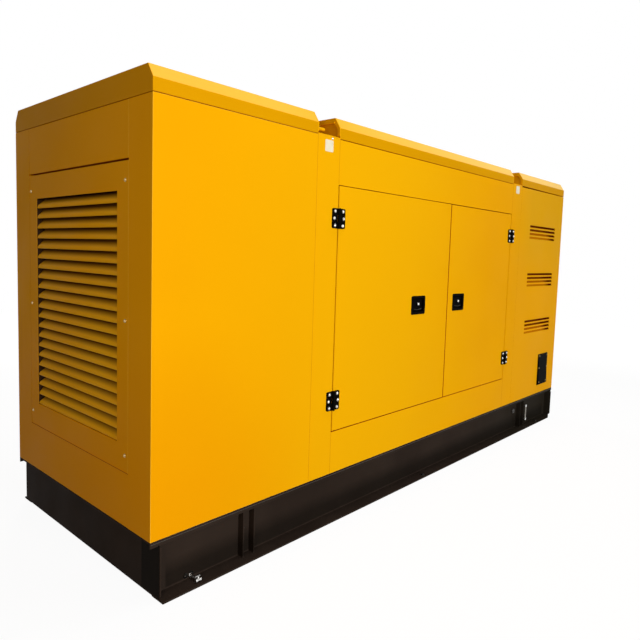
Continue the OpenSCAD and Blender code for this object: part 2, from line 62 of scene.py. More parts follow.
OPEN_LO, OPEN_HI = BOX["left_louvre_blades"]                                    # the louvre opening

# ---- camera: the photograph's viewpoint ----
CAMERA_AT = (-3.6906, -2.9777, 1.6053)
CAMERA_TURN = (42.078, 4.770, 1.800)    # yaw, pitch down and roll, degrees
CAMERA_LENS, CAMERA_SENSOR = 32.466375, 36.0    # mm
CAMERA_SHIFT = (-0.00859, -0.02736)


def add_camera():
    yaw, pitch, roll = (math.radians(a) for a in CAMERA_TURN)
    ahead = Vector((math.cos(yaw) * math.cos(pitch), math.sin(yaw) * math.cos(pitch), -math.sin(pitch)))
    level = ahead.cross(Vector((0, 0, 1))).normalized()
    upright = level.cross(ahead)
    right = level * math.cos(roll) + upright * math.sin(roll)
    up = upright * math.cos(roll) - level * math.sin(roll)
    data = bpy.data.cameras.new("camera")
    data.sensor_width = CAMERA_SENSOR
    data.lens = CAMERA_LENS
    data.shift_x, data.shift_y = CAMERA_SHIFT
    data.clip_end = 200
    cam = bpy.data.objects.new("camera", data)
    bpy.context.scene.collection.objects.link(cam)
    cam.matrix_world = Matrix.Translation(CAMERA_AT) @ Matrix((right, up, -ahead)).transposed().to_4x4()
    bpy.context.scene.camera = cam


add_camera()
bpy.context.scene.view_settings.view_transform = "Standard"


# ---- materials ----
def srgb(r, g, b):
    def linear(c):
        c /= 255
        return c / 12.92 if c <= 0.04045 else ((c + 0.055) / 1.055) ** 2.4
    return (linear(r), linear(g), linear(b), 1)


class Nodes:
    """Short calls for a material's node tree."""

    SOCKETS = {"color": "Base Color", "rough": "Roughness", "metal": "Metallic",
               "spec": "Specular IOR Level", "normal": "Normal"}

    def __init__(self, name):
        self.mat = bpy.data.materials.new("look_" + name)
        self.mat.use_nodes = True
        self.tree = self.mat.node_tree
        self.bsdf = self.tree.nodes["Principled BSDF"]
        self.coord = self.tree.nodes.new("ShaderNodeTexCoord").outputs["Object"]

    def feed(self, socket, value):
        """Links an output to a socket, or sets the socket's own value."""
        if hasattr(value, "node"):
            self.tree.links.new(value, socket)
        else:
            socket.default_value = value

    def node(self, kind, **values):
        n = self.tree.nodes.new("ShaderNode" + kind)
        for key, value in values.items():
            if key in n.inputs.keys():
                self.feed(n.inputs[key], value)
            else:
                setattr(n, key, value)
        return n

    def put(self, **values):
        for key, value in values.items():
            self.feed(self.bsdf.inputs[self.SOCKETS[key]], value)

    def axis(self, letter):
        return self.node("SeparateXYZ", Vector=self.coord).outputs[letter]

    def noise(self, scale, detail, rough=0.5):
        return self.node("TexNoise", Vector=self.coord, Scale=scale, Detail=detail, Roughness=rough).outputs["Fac"]

    def span(self, value, window, out=(0.0, 1.0)):
        """Stretches a window of a value's range to out."""
        n = self.node("MapRange", Value=value)
        for i, v in enumerate((*window, *out)):
            n.inputs[i + 1].default_value = v
        return n.outputs["Result"]

    def mottle(self, scale, detail, window, out=(0.0, 1.0), rough=0.5):
        """Noise, with a window of its values stretched to out."""
        return self.span(self.noise(scale, detail, rough), window, out)

    def mix(self, fac, a, b):
        n = self.node("Mix", data_type="RGBA")
        for socket, v in zip([s for s in n.inputs if s.enabled], (fac, a, b)):
            self.feed(socket, v)
        return [s for s in n.outputs if s.enabled][0]

    def math(self, op, a, b=0.0):
        n = self.node("Math", operation=op)
        for socket, v in zip(n.inputs, (a, b)):
            self.feed(socket, v)
        return n.outputs[0]

    def times(self, a, b):
        return self.math("MULTIPLY", a, b)

    def bump(self, height, strength, distance, normal=None):
        n = self.node("Bump", Height=height, Strength=strength, Distance=distance)
        if normal:
            self.tree.links.new(normal, n.inputs["Normal"])
        return n.outputs["Normal"]


def behind_face(m, window):
    """0 to 1 as a point lies behind the canopy's side or end face, over a window of depths."""
    depth = m.math("MINIMUM", m.math("SUBTRACT", X1, m.math("ABSOLUTE", m.axis("X"))),
                   m.math("SUBTRACT", SIDE_Y, m.math("ABSOLUTE", m.axis("Y"))))
    return m.span(depth, window)


def yellow_paint(name, tones=((234, 163, 0), (239, 168, 0)), uneven=True, paler=False, shade=None):
    """The canopy's paint, between two tones.

    uneven adds lemon in the middle of the long sides, orange at the lower left and a duller tone at the upper
    right. paler turns it paler towards the right, for the painted skylight on the roof's faces that look up.
    shade is (window, colour), a painted shade: the paint takes that dark colour over a window of depths behind
    the canopy's face, and darker still towards the right end.
    """
    m = Nodes(name)
    base = m.mix(m.mottle(0.9, 2, (0.35, 0.65)), srgb(*tones[0]), srgb(*tones[1]))
    if paler:
        base = m.mix(m.span(m.axis("X"), (-1.2, 1.8), (0.0, 0.9)), base, srgb(250, 208, 118))
    if uneven:
        middle = m.span(m.math("ABSOLUTE", m.math("ADD", m.axis("X"), 0.75)), (0.35, 1.5), (0.75, 0.0))
        base = m.mix(middle, base, srgb(240, 177, 4))
        lower_left = m.times(m.span(m.axis("X"), (-1.35, -2.1), (0.0, 0.6)), m.span(m.axis("Z"), (1.3, 0.5)))
        base = m.mix(lower_left, base, srgb(234, 152, 0))
        upper_right = m.times(m.span(m.axis("X"), (1.15, 1.6), (0.0, 0.85)), m.span(m.axis("Z"), (1.3, 1.9)))
        base = m.mix(upper_right, base, srgb(222, 163, 4))
    base = m.mix(m.mottle(55, 4, (0.62, 0.80), (0.0, 0.10), 0.7), base, srgb(196, 128, 4))
    if shade:
        # painted shade: darker with depth behind the face, and darker still towards the right end
        window, dark = shade
        darker = m.mix(m.span(m.axis("X"), (1.70, 2.20), (0.0, 0.75)), srgb(*dark), srgb(40, 16, 6))
        base = m.mix(behind_face(m, window), base, darker)
    m.put(color=base, rough=m.mottle(3.0, 3, (0.3, 0.7), (0.42, 0.52)), spec=0.02)
    wave = m.bump(m.noise(1.6, 1), 0.25, 0.003)
    m.put(normal=m.bump(m.noise(420, 2), 0.08, 0.0004, wave))
    return m.mat


def black_paint():
    """The skid's paint: dust near the floor, olive to the right, and painted shade low on the webs."""
    m = Nodes("black_paint")
    base = m.mix(m.mottle(2.2, 3, (0.35, 0.7)), srgb(43, 35, 30), srgb(51, 42, 36))
    dust = m.times(m.mottle(14, 5, (0.48, 0.75), rough=0.65), m.span(m.axis("Z"), (0.0, 0.20), (0.16, 0.0)))
    base = m.mix(dust, base, srgb(70, 60, 52))
    base = m.mix(m.span(m.axis("X"), (0.4, 1.8), (0.0, 0.75)), base, srgb(37, 34, 27))
    # painted shade: darker low on the side beams' webs, above their foot flanges
    low = m.times(m.span(m.axis("Z"), (0.150, 0.075)), m.span(m.axis("Z"), (0.012, 0.020)))
    webs = m.span(m.math("ABSOLUTE", m.axis("X")), (2.235, 2.245), (0.62, 0.0))
    base = m.mix(m.times(low, webs), base, srgb(17, 15, 12))
    m.put(color=base, rough=m.mottle(6, 4, (0.3, 0.7), (0.34, 0.48)), spec=0.004)
    wave = m.bump(m.noise(1.3, 1), 0.15, 0.002)
    m.put(normal=m.bump(m.noise(240, 3), 0.10, 0.0005, wave))
    return m.mat


def black_fittings():
    m = Nodes("black_fittings")
    m.put(color=m.mix(m.mottle(40, 3, (0.35, 0.7)), srgb(7, 6, 6), srgb(12, 11, 10)),
          rough=m.mottle(60, 3, (0.3, 0.7), (0.34, 0.46)), spec=0.005)
    m.put(normal=m.bump(m.noise(900, 2), 0.15, 0.0003))
    return m.mat


def plain_dark(name, rgb, rough):
    m = Nodes(name)
    m.put(color=m.mix(m.mottle(3, 3, (0.35, 0.7), (0.0, 0.5)), srgb(*rgb), srgb(34, 29, 24)), rough=rough, spec=0.004)
    m.put(normal=m.bump(m.noise(240, 3), 0.10, 0.0005))
    return m.mat


def slot_tongue(name, left, right, start):
    """Paint on the tongues behind the slots, from the left colour to the right one just past X = start: painted shade,
    darker towards the canopy's end.
    """
    m = Nodes(name)
    along = m.span(m.math("ABSOLUTE", m.axis("X")), (start, start + 0.12))
    m.put(color=m.mix(along, srgb(*left), srgb(*right)), rough=0.8, spec=0.0)
    return m.mat


def steel(name, lo, hi, tint=(0.995, 0.98)):
    """Bare or plated metal between two greys, tint being their green and blue shares."""
    m = Nodes(name)
    greys = [srgb(v, v * tint[0], v * tint[1]) for v in (lo, hi)]
    m.put(color=m.mix(m.mottle(90, 3, (0.3, 0.7)), *greys), metal=1.0, rough=m.mottle(160, 3, (0.3, 0.7), (0.24, 0.38)))
    m.put(normal=m.bump(m.noise(700, 2), 0.1, 0.0002))
    return m.mat


def label_film():
    m = Nodes("label_film")
    m.put(color=m.mix(m.mottle(30, 2, (0.3, 0.7)), srgb(226, 218, 188), srgb(234, 227, 200)),
          rough=m.mottle(80, 2, (0.3, 0.7), (0.35, 0.5)), spec=0.2)
    m.put(normal=m.bump(m.noise(300, 2), 0.05, 0.0002))
    return m.mat


def gauge_tube():
    """The sight tube, paler at its two ends."""
    m = Nodes("gauge_tube")
    ends = m.span(m.math("ABSOLUTE", m.math("SUBTRACT", m.axis("Z"), 0.1225)), (0.056, 0.060))
    m.put(color=m.mix(ends, srgb(150, 146, 138), srgb(222, 220, 214)),
          rough=m.mottle(120, 2, (0.3, 0.7), (0.20, 0.32)), spec=0.4)
    m.put(normal=m.bump(m.noise(200, 2), 0.05, 0.0002))
    return m.mat


def dark_foam():
    m = Nodes("dark_foam")
    cell = m.node("TexVoronoi", Vector=m.coord, Scale=260.0).outputs["Distance"]
    m.put(color=m.mix(m.span(cell, (0.1, 0.6)), srgb(44, 30, 20), srgb(64, 45, 30)),
          rough=m.mottle(20, 3, (0.3, 0.7), (0.85, 0.97)), spec=0.0)
    bands = m.node("TexWave", Vector=m.coord, Scale=9.0, wave_type="BANDS", bands_direction="X").outputs["Fac"]
    m.put(normal=m.bump(cell, 0.6, 0.002, m.bump(bands, 0.4, 0.004)))
    return m.mat


def seam_shadow():
    m = Nodes("seam_shadow")
    m.put(color=m.mix(m.noise(50, 2), srgb(180, 84, 5), srgb(198, 96, 7)),
          rough=m.mottle(90, 2, (0.3, 0.7), (0.8, 0.95)), spec=0.05)
    m.put(normal=m.bump(m.noise(300, 2), 0.1, 0.0003))
    return m.mat


YELLOW = yellow_paint("yellow_paint")
# painted shade in the louvre openings and the air slots, deeper behind the face
SHEET = yellow_paint("yellow_sheet", shade=((0.002, 0.022), (138, 58, 6)))
# a paler copy of the paint, as painted light on the blades' lit feet, with painted shade deeper in
BLADE = yellow_paint("yellow_blade", ((253, 184, 14), (255, 192, 24)), False, shade=((0.0015, 0.028), (98, 64, 20)))
# painted skylight: a paler copy of the paint for the roof's faces that look up
SKYLIGHT_PAINT = yellow_paint("yellow_painted_skylight", ((247, 181, 48), (250, 187, 64)), False, paler=True)
SKIRT = yellow_paint("yellow_skirt", ((212, 149, 0), (217, 154, 0)), False)
# painted highlight: a paler copy of the paint for the narrow faces along the folds
EDGE = yellow_paint("yellow_painted_highlight", ((248, 188, 34), (252, 196, 56)), False)
# painted shade: each row of tongues darker than the one below it, and darker towards the canopy's end
TONGUES = [slot_tongue("tongue_painted_shade_" + str(k + 1), *paint) for k, paint in enumerate((
    ((196, 118, 8), (84, 22, 4), 1.99), ((176, 98, 6), (84, 22, 4), 1.95),
    ((116, 52, 4), (84, 22, 4), 1.86), ((100, 36, 4), (84, 20, 3), 1.80)))]
BLACK, FITTING = black_paint(), black_fittings()
# the dark of the painted shade bands on the skid's end plates, and the grey of the painted highlight along the paddles'
# lips
END_PLATE_SHADE, LIP = plain_dark("painted_shade_black", (25, 21, 17), 0.42), plain_dark("paddle_lip_highlight", (74, 72, 66), 0.4)
STEEL, KEY = steel("bright_steel", 186, 214), steel("key_steel", 232, 248)
# the second is the grey of a painted highlight along the rails
DULL, RAIL_HIGHLIGHT = steel("dull_steel", 62, 84, (0.97, 0.93)), steel("rail_painted_highlight", 84, 112, (0.96, 0.90))
ZINC = steel("zinc_screws", 150, 176, (0.86, 0.56))
# SEAM is the painted shade of the shut joints
LABEL, TUBE, FOAM, SEAM = label_film(), gauge_tube(), dark_foam(), seam_shadow()

# The record's material slots, each with the looks that belong to it, the CAD nodes' own first
FINISHES = {"yellow_paint": (YELLOW, SHEET, BLADE, SKYLIGHT_PAINT, SKIRT, EDGE, *TONGUES),
            "black_paint": (BLACK, FITTING, END_PLATE_SHADE, LIP, FOAM, SEAM),
            "bright_steel": (STEEL, KEY, DULL, RAIL_HIGHLIGHT, ZINC),
            "clear_tube": (TUBE,),
            "label": (LABEL,)}
FITTING_NODES = ("front_hinge_plates", "left_door_hinge_leaves", "right_door_hinge_leaves", "rear_hinges",
                 "left_door_latch", "right_door_latch", "left_latch_paddle", "right_latch_paddle",
                 "rear_latches", "outlet_box")
SHEET_NODES = ("left_louvre_panel", "right_louvre_panel", "front_right_panel", "rear_right_panel")
node_slot = {s["node"]: s["material_slot"] for s in frame["record"]["subparts"]}
node_body = {n: b for b, ns in frame["record"]["behaviour"]["bodies"].items() for n in ns}
for name, obj in frame["nodes"].items():
    mat = FINISHES[node_slot[name]][0]
    if name in FITTING_NODES:
        mat = FITTING
    elif name in SHEET_NODES:
        mat = SHEET
    obj.data.materials.clear()
    obj.data.materials.append(mat)


# ---- mesh helpers ----
def finish_piece(name, bm, mat, body=BASE, smooth=30, weighted=False, more=()):
    """Makes a piece of a mesh; smooth is the angle in degrees from which its edges are sharp."""
    me = bpy.data.meshes.new(name)
    bm.normal_update()
    bm.to_mesh(me)
    bm.free()
    ob = bpy.data.objects.new(name, me)
    bpy.context.scene.collection.objects.link(ob)
    for m in (mat, *more):
        me.materials.append(m)
    me.shade_smooth()
    me.set_sharp_from_angle(angle=math.radians(smooth))
    if weighted:
        mod = ob.modifiers.new("flat_faces", "WEIGHTED_NORMAL")
        mod.keep_sharp = True
        mod.weight = 100
    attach(ob, body)
    return ob


LINED, SHUT, PAINTED_HIGHLIGHT, PAINTED_SKYLIGHT = 1, 2, 3, 4       # places of a softened piece's further materials


def softened(node, width, segments=2, moves=(), slices=(), corners=None, cut=30,
             inside=None, seam=None, bright=None, skylight_faces=None):
    """Stands for a CAD node with the same solids, their edges rounded as folded sheet is.

    moves are (test, shift) for the points to shift, and slices are (point, normal) planes that cut the faces.
    corners is (test, radius) for the edges that get their own larger radius first. Of the other edges, those
    sharper than cut degrees get width. Faces that inside picks get the lining, those that seam picks the
    painted shade of a shut joint, and the faces picked as looking up the paler paint of painted skylight. Of
    the narrow faces along the folds, those that bright picks get the paler paint of a painted highlight.
    """
    src = frame["nodes"][node]
    bm = bmesh.new()
    bm.from_mesh(src.data)
    bmesh.ops.remove_doubles(bm, verts=bm.verts, dist=1e-5)
    bmesh.ops.dissolve_limit(bm, angle_limit=math.radians(0.5), verts=bm.verts, edges=bm.edges)
    for test, shift in moves:
        for v in bm.verts:
            if test(v.co):
                v.co += Vector(shift)
    for point, normal in slices:
        bmesh.ops.bisect_plane(bm, geom=bm.verts[:] + bm.edges[:] + bm.faces[:], dist=1e-5,
                               plane_co=point, plane_no=normal)
    if corners:
        picked = [e for e in bm.edges if corners[0](e)]
        bmesh.ops.bevel(bm, geom=picked, offset=corners[1], offset_type="OFFSET", segments=5, profile=0.5,
                        affect="EDGES")
    bm.normal_update()
    for f in bm.faces:
        for place, test in ((LINED, inside), (SHUT, seam), (PAINTED_SKYLIGHT, skylight_faces)):
            if test and test(f.calc_center_median(), f.normal):
                f.material_index = place
                break
    edges = [e for e in bm.edges if len(e.link_faces) == 2 and e.calc_face_angle(0) > math.radians(cut)]
    bmesh.ops.bevel(bm, geom=edges, offset=width, offset_type="OFFSET", segments=segments, profile=0.5,
                    affect="EDGES", clamp_overlap=True, miter_outer="SHARP", material=-1)
    # painted highlight on the narrow fold faces that bright picks
    if bright:
        bm.normal_update()
        for f in bm.faces:
            if max(abs(v) for v in f.normal) < 0.99 and bright(f.calc_center_median(), f.normal):
                f.material_index = PAINTED_HIGHLIGHT
    more = (FOAM, SEAM, EDGE, SKYLIGHT_PAINT) if inside or seam or bright or skylight_faces else ()
    ob = finish_piece(node + "_folded", bm, src.data.materials[0], node_body[node], 35, True, more)
    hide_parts(node)
    return ob


def frame_of(axis):
    z = Vector(axis).normalized()
    x = z.cross(Vector((0, 0, 1)) if abs(z.z) < 0.9 else Vector((1, 0, 0))).normalized()
    return x, z.cross(x), z


def circle(bm, centre, x, y, r, segs, phase=0.0):
    return [bm.verts.new(centre + (x * math.cos(a) + y * math.sin(a)) * r)
            for a in (phase + 2 * math.pi * k / segs for k in range(segs))]


def skin(bm, rings, segs):
    """Faces between rings of points, and over the two ends. A ring may be a single point."""
    for a, b in zip(rings, rings[1:]):
        for k in range(segs):
            q = [a[k % len(a)], a[(k + 1) % len(a)], b[(k + 1) % len(b)], b[k % len(b)]]
            q = [v for i, v in enumerate(q) if v not in q[:i]]
            if len(q) > 2:
                bm.faces.new(q)
    for cap in (rings[0][::-1], rings[-1]):
        if len(cap) > 2:
            bm.faces.new(cap)


def lathe(bm, at, axis, profile, segs=20, phase=0.0):
    """Revolves (radius, height) points round an axis; a radius of 0 closes to a point."""
    x, y, z = frame_of(axis)
    at = Vector(at)
    skin(bm, [circle(bm, at + z * h, x, y, r, segs, phase) if r else [bm.verts.new(at + z * h)]
              for r, h in profile], segs)


def tube(bm, path, r, segs=12):
    """A round bar through the points of a path."""
    path = [Vector(p) for p in path]
    rings = []
    for i, p in enumerate(path):
        x, y, _ = frame_of(path[min(i + 1, len(path) - 1)] - path[max(i - 1, 0)])
        rings.append(circle(bm, p, x, y, r, segs))
    skin(bm, rings, segs)


def prism(bm, near, far, flip=False):
    """The solid between two outlines of as many points; flip turns its faces over."""
    a, b = [[bm.verts.new(p) for p in line] for line in (near, far)]
    n = len(a)
    for face in [[a[k], a[(k + 1) % n], b[(k + 1) % n], b[k]] for k in range(n)] + [a[::-1], b]:
        bm.faces.new(face[::-1] if flip else face)


def block(bm, corner, opposite, bevel=0.0, segs=2):
    """A box between two opposite corners."""
    lo, hi = Vector(map(min, corner, opposite)), Vector(map(max, corner, opposite))
    new = bmesh.ops.create_cube(bm, size=1.0)["verts"]
    for v in new:
        v.co = Vector((lo[i] + (v.co[i] + 0.5) * (hi[i] - lo[i]) for i in range(3)))
    if bevel:
        edges = dict.fromkeys(e for v in new for e in v.link_edges)
        bmesh.ops.bevel(bm, geom=list(edges), offset=bevel, segments=segs, affect="EDGES", clamp_overlap=True)


def dome_screw(bm, at, axis, r, h):
    """A domed head of radius r and height h on a washer."""
    rim = r * 0.12
    dome = [(r * math.cos(t), rim + h * math.sin(t)) for t in (0, 0.35, 0.7, 1.05, 1.35)]
    lathe(bm, at, axis, [(r * 1.28, 0), (r * 1.28, rim)] + dome + [(0, rim + h)], 18)


SMALL_SCREW = (0.0055, 0.0045)      # radius and height


def hex_bolt(bm, at, axis, r, h):
    """A hexagon head of radius r on a washer, h above it."""
    lathe(bm, at, axis, [(r * 1.45, 0), (r * 1.45, r * 0.18)], 20)
    at = Vector(at) + Vector(axis).normalized() * r * 0.18
    lathe(bm, at, axis, [(r * 0.98, 0), (r, r * 0.06), (r, h * 0.85), (r * 0.88, h)], 6)


def along_y(e):
    """An edge that runs along Y, so that it is a plate's corner seen from the front."""
    a, b = e.verts[0].co, e.verts[1].co
    return abs(a.x - b.x) < 1e-5 and abs(a.z - b.z) < 1e-5


# ---- canopy sheets with folded edges ----
FOLD, PANEL_FOLD, END_FOLD = 0.0016, 0.0028, 0.0030     # radii of the folds
LINING = 0.034                                          # a face deeper than this is lined
FLAT, SLANTED = 0.9, 0.15                               # least share of a normal along an axis
REACH, END_REACH = 0.003, 0.004                         # a fold lies this near its edge
SAME = 0.001                                            # places as near as this are the same


def is_inside(c, n):
    """A face that looks into the canopy."""
    deep = min(X1 - abs(c.x), SIDE_Y - abs(c.y))
    return deep > LINING and (n.x * c.x < -1e-4 or n.y * c.y < -1e-4) and max(abs(n.x), abs(n.y)) > FLAT


def roof_inside(c, n):
    """A face under the roof, or the back of its skirt."""
    return (n.z < -0.2 and c.z > Z_ROOF + 0.02) or (abs(n.y) > FLAT and n.y * c.y < 0 and abs(c.y) < SIDE_Y - 0.01)


def louvre_lining_and_shade(c, n):
    """The panel's back, and the sides and top of the louvre opening, whose lining is painted shade."""
    opening = abs(c.y) < OPEN_HI[1] + SAME and OPEN_LO[2] + 0.01 < c.z < OPEN_HI[2] + 0.02
    return is_inside(c, n) or (opening and abs(n.x) < 0.1)


def painted_highlight_fold(c, n):
    """The canopy's corner folds, and the top and bottom folds of its side sheets, which get a painted highlight."""
    if abs(c.y) < SIDE_Y - REACH or abs(n.y) < SLANTED:
        return False
    corner = abs(c.x) > X1 - REACH and abs(n.x) > SLANTED
    level = min(abs(c.z - Z_ROOF), abs(c.z - Z_WALL)) < REACH and abs(n.z) > SLANTED
    return corner or level


def end_painted_highlight_fold(c, n):
    """The folds of the end sheets that get a painted highlight."""
    if abs(c.x) < X1 - END_REACH or abs(n.x) < SLANTED:
        return False
    edge = abs(abs(c.y) - PANEL_Y) < END_REACH and abs(n.y) > SLANTED
    return edge or (Z_PANEL - END_REACH < c.z < Z_PANEL + SAME and n.z > SLANTED)


def shut_joint(c, n):
    """The faces of a canopy sheet that are hidden in the joint with its neighbour; they get the painted shade of the
    joint.
    """
    if n.z > FLAT and (c.z > Z_ROOF - 0.008 or abs(c.z - Z_DOOR) < SAME):
        return True
    return n.z < -FLAT and (abs(c.z - Z_HEAD) < SAME or abs(c.z - Z_PANEL) < SAME)


# How much lower than the roof's skirt the tops of some sheets lie
TOP_GAP = {"front_header": 0.002, "rear_header": 0.002, "front_right_panel": 0.003, "rear_right_panel": 0.003}
INNER_GAP = 0.003       # and how much more, at their inner ends, those of the right panels
SILL_OUT = 0.005        # how far the bands below the louvre panels run on to each side
for node in ("front_left_panel", "rear_left_panel", "front_right_panel", "rear_right_panel",
             "front_posts", "rear_posts", "front_header", "front_sill", "rear_header", "rear_sill"):
    tops = [(lambda c: c.z > Z_ROOF - 1e-4, (0, 0, -TOP_GAP.get(node, 0)))]
    if node.endswith("right_panel"):
        tops.append((lambda c: c.z > Z_ROOF - TOP_GAP[node] - 1e-4 and c.x < P2 + SAME, (0, 0, -INNER_GAP)))
    softened(node, FOLD, inside=is_inside, seam=shut_joint, bright=painted_highlight_fold, moves=tops)
softened("end_headers", END_FOLD, inside=is_inside, seam=shut_joint, bright=end_painted_highlight_fold)
softened("end_sills", END_FOLD, inside=is_inside, bright=end_painted_highlight_fold,
         moves=[(lambda c: c.y > 0, (0, SILL_OUT, 0)), (lambda c: c.y < 0, (0, -SILL_OUT, 0))])
for node in ("left_louvre_panel", "right_louvre_panel"):
    softened(node, PANEL_FOLD, inside=louvre_lining_and_shade, seam=shut_joint, bright=end_painted_highlight_fold)

# ---- door leaves, a little smaller than their openings, the outer strip of their meeting edges painted dark as shade ----
SHRINK, RAISE = 0.0018, 0.0015      # taken off each meeting edge, added to the top of the wide leaf
MEETING, STRIP = 0.0035, 0.0075     # half the CAD gap between the leaves, depth of the strip of painted shade
for node in ("front_left_door", "front_right_door", "rear_doors"):
    softened(node, PANEL_FOLD, 3, inside=is_inside,
             moves=[(lambda c: c.x < D1 + DOOR_GAP + SAME, (2 * SHRINK, 0, 0)),
                    (lambda c: c.x > D2 - DOOR_GAP - SAME, (-2 * SHRINK, 0, 0)),
                    (lambda c: abs(c.x - SPLIT + MEETING) < SAME, (-SHRINK, 0, 0)),
                    (lambda c: abs(c.x - SPLIT - MEETING) < SAME, (SHRINK, 0, 0)),
                    (lambda c: c.z > Z_HEAD - DOOR_GAP - SAME and c.x < SPLIT, (0, 0, RAISE))],
             slices=[((0, s * (SIDE_Y - STRIP), 0), (0, 1, 0)) for s in (-1, 1)],
             seam=lambda c, n: abs(n.x) > FLAT and abs(c.x - SPLIT) < 0.012 and abs(c.y) > SIDE_Y - STRIP)

# ---- roof: the skirt of the last section stands up a little at its inner end ----
SKIRT_GAP = {"roof_left": 0.0022, "roof_middle": 0.0012, "roof_right": 0.001}   # from skirt to wall
SKIRT_LIFT = 0.003
for node, gap in SKIRT_GAP.items():
    moves = [(lambda c: c.z < Z_ROOF + 0.002, (0, 0, gap))]
    if node == "roof_right":
        moves.append((lambda c: c.z < Z_ROOF + 0.006 and c.x < P2 + 0.03, (0, 0, SKIRT_LIFT)))
    # the skirts' feet get painted shade, and the faces that look up get the paler paint of painted skylight
    ob = softened(node, 0.0025, 3, moves=moves, cut=20, inside=roof_inside,
                  seam=lambda c, n: n.z < -FLAT and c.z < Z_ROOF + 0.012, skylight_faces=lambda c, n: n.z > 0.3)
    ob.data.materials[0] = SKIRT
softened("roof_trays", 0.001)
softened("lifting_lugs", 0.002, 2)

# Rims round the roof sections' ends over the trays, each with a crossbar, and at its foot two notches of painted shade
SLOPE_H, SLOPE_IN = 0.062, 0.040
ROOF_ENDS = ((P1, 1), (D1, -1), (D2, 1), (P2, -1))      # X, and the way to the tray
RIM_OUT = 0.001                                         # how far the rims reach back over the roof


def roof_outline(t):
    """The roof's section at t inside its faces, as (y, z) from the foot of one skirt to the other."""
    y0, y1 = SIDE_Y - t, SIDE_Y - SLOPE_IN - t * 0.7
    half = [(y0, Z_ROOF + 0.016), (y0, Z_TOP - SLOPE_H - t / 4), (y1, Z_TOP - t)]
    return [(-y, z) for y, z in half] + half[::-1]


bm = bmesh.new()
for x, s in ROOF_ENDS:
    outer, inner = roof_outline(0.0006), roof_outline(0.019)
    a, b, c, d = [[bm.verts.new((xx, y, z)) for y, z in line]
                  for xx in (x - s * RIM_OUT, x + s * 0.005) for line in (outer, inner)]
    for i in range(len(outer) - 1):
        for p, q in ((a, c), (c, d), (d, b)):
            bm.faces.new([p[i], p[i + 1], q[i + 1], q[i]])
    for i in (0, -1):
        bm.faces.new([a[i], c[i], d[i], b[i]])
bmesh.ops.recalc_face_normals(bm, faces=bm.faces)
for x, s in ROOF_ENDS:
    bar_y = SIDE_Y - 0.0435
    block(bm, (x - s * RIM_OUT, -bar_y, Z_TOP - 0.031), (x + s * 0.010, bar_y, Z_TOP - 0.0206), 0.001)
finish_piece("roof_end_rims", bm, YELLOW)
bm = bmesh.new()
for x, s in ROOF_ENDS:
    for side in (-1, 1):
        block(bm, (x - s * RIM_OUT, side * (SIDE_Y - 0.001), Z_ROOF + 0.009),
              (x + s * 0.004, side * (SIDE_Y - 0.013), Z_ROOF + 0.018), 0.001, 1)
finish_piece("roof_end_notch_shade", bm, SEAM)

# ---- painted shade in the shut joints between the sheets ----
CLEAR = 0.001           # how far a joint stays from the sheets above and below it
JOINT_D, END_JOINT_D = 0.003, 0.004     # how deep the joints of the long sides and of the ends are filled with painted shade
bm = bmesh.new()


def upright_joint(x, z0, z1, width):
    """Fills a joint of the side sheets, front and rear, with painted shade."""
    for s in (-1, 1):
        block(bm, (x - width / 2, s * (SIDE_Y - 0.0003), z0 + CLEAR),
              (x + width / 2, s * (SIDE_Y - JOINT_D), z1 - CLEAR))


upright_joint(P1, Z_WALL, Z_ROOF, 0.0022)
upright_joint(P2, Z_WALL, Z_ROOF, 0.0004)
for x, width in ((D1, 0.0020), (D2, 0.0024)):
    upright_joint(x, Z_WALL, Z_DOOR, width)
    upright_joint(x, Z_HEAD, Z_ROOF, width)
for s in (-1, 1):
    for y in (-PANEL_Y, PANEL_Y):
        block(bm, (s * (X1 - 0.0004), y - 0.0002, Z_PANEL + CLEAR),
              (s * (X1 - END_JOINT_D), y + 0.0002, Z_ROOF - CLEAR))
    # the one under the louvre panel stands a little proud
    block(bm, (s * (X1 + 0.0012), -PANEL_Y, Z_PANEL - 0.0006), (s * (X1 - END_JOINT_D), PANEL_Y, Z_PANEL + 0.0026))
finish_piece("sheet_joint_shade", bm, SEAM)

# ---- tongues pressed inward at the air slots: three groups of four, one piece for each row of a group ----
SLOT_END, SLOT_L, SLOT_H = 0.174, 0.608, 0.020          # from the canopy's end, and a slot's size
SLOT_Z, SLOT_GROUP, SLOT_PITCH = 0.637, 0.446, 0.035    # lowest slot's middle over the wall's foot, steps up
TONGUE_SIDE = 0.0004                                    # clear of both ends of its slot
TONGUE = [(0.0012, 0.0004), (0.0040, 0.0050), (0.0068, 0.0120), (0.0090, 0.0215)]      # depth and height
TONGUE += [(d + 0.0009, h - 0.0016) for d, h in TONGUE[::-1]]
for k, paint in enumerate(TONGUES):
    bm = bmesh.new()
    for s in (-1, 1):
        for group in range(3):
            z = Z_WALL + SLOT_Z + SLOT_GROUP * group + SLOT_PITCH * k - SLOT_H / 2
            prism(bm, *[[(x, s * (SIDE_Y - d), z + max(h, 0.0002)) for d, h in TONGUE]
                        for x in (X1 - SLOT_END - SLOT_L + TONGUE_SIDE, X1 - SLOT_END - TONGUE_SIDE)])
    bmesh.ops.recalc_face_normals(bm, faces=bm.faces)
    finish_piece("slot_tongues_" + str(k + 1), bm, paint, BASE, 50)

